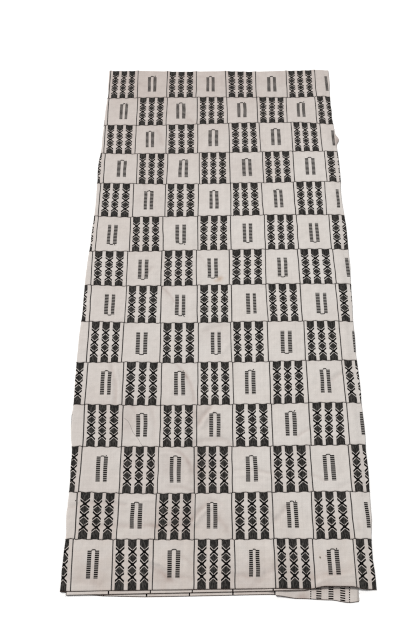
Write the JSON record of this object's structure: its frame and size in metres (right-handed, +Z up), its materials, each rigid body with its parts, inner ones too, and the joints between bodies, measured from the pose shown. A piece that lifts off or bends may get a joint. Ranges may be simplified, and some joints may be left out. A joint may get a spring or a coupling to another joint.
{
  "type": "mossi cloth",
  "caption": "Strip-woven cotton cloth with black inlaid crosses, diamonds and ladder bars on off-white, folded lengthwise and lying flat.",
  "frame": {"origin": "middle of the folded cloth's outline, on the surface that it lies on", "axes": "+X along the woven strips to the right fold, +Y across the strips away from the near edge with the flap, +Z up"},
  "size_m": [0.688, 1.4823, 0.011],
  "materials": {
    "woven_cotton": "matt handwoven cotton, off-white with black inlay"
  },
  "bodies": {
    "root": {"strip_01": "woven_cotton", "strip_02": "woven_cotton", "strip_03": "woven_cotton", "strip_04": "woven_cotton", "strip_05": "woven_cotton", "strip_06": "woven_cotton", "strip_07": "woven_cotton", "strip_08": "woven_cotton", "strip_09": "woven_cotton", "strip_10": "woven_cotton", "strip_11": "woven_cotton", "strip_12": "woven_cotton", "strip_13": "woven_cotton", "strip_14": "woven_cotton"}
  },
  "joints": []
}
